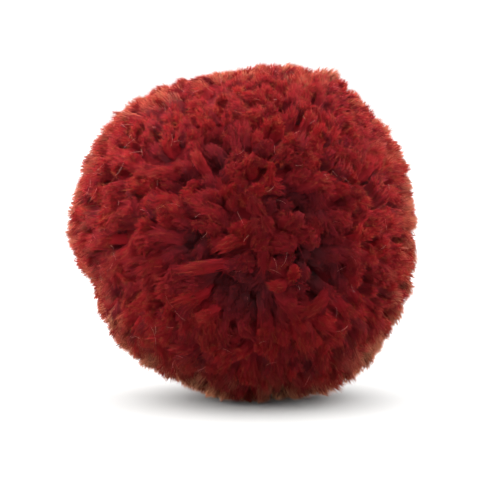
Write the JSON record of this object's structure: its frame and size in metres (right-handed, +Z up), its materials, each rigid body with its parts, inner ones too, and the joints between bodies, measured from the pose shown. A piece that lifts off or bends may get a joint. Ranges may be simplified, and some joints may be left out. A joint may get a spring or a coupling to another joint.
{
  "type": "yarn pom-pom",
  "caption": "Round dark red pom-pom of cut yarn ends clipped to a soft, slightly uneven ball, used as a sewn-on trimming or loose decoration.",
  "frame": {"origin": "on the surface that the pom-pom rests on, straight below its bound middle", "axes": "+Z up, -Y towards the front as pictured, +X to the right seen from the front"},
  "size_m": [0.0595, 0.0595, 0.0573],
  "materials": {
    "yarn": "soft matt yarn, fluffed at the cut ends"
  },
  "bodies": {
    "root": {"pompom": "yarn"}
  },
  "joints": []
}
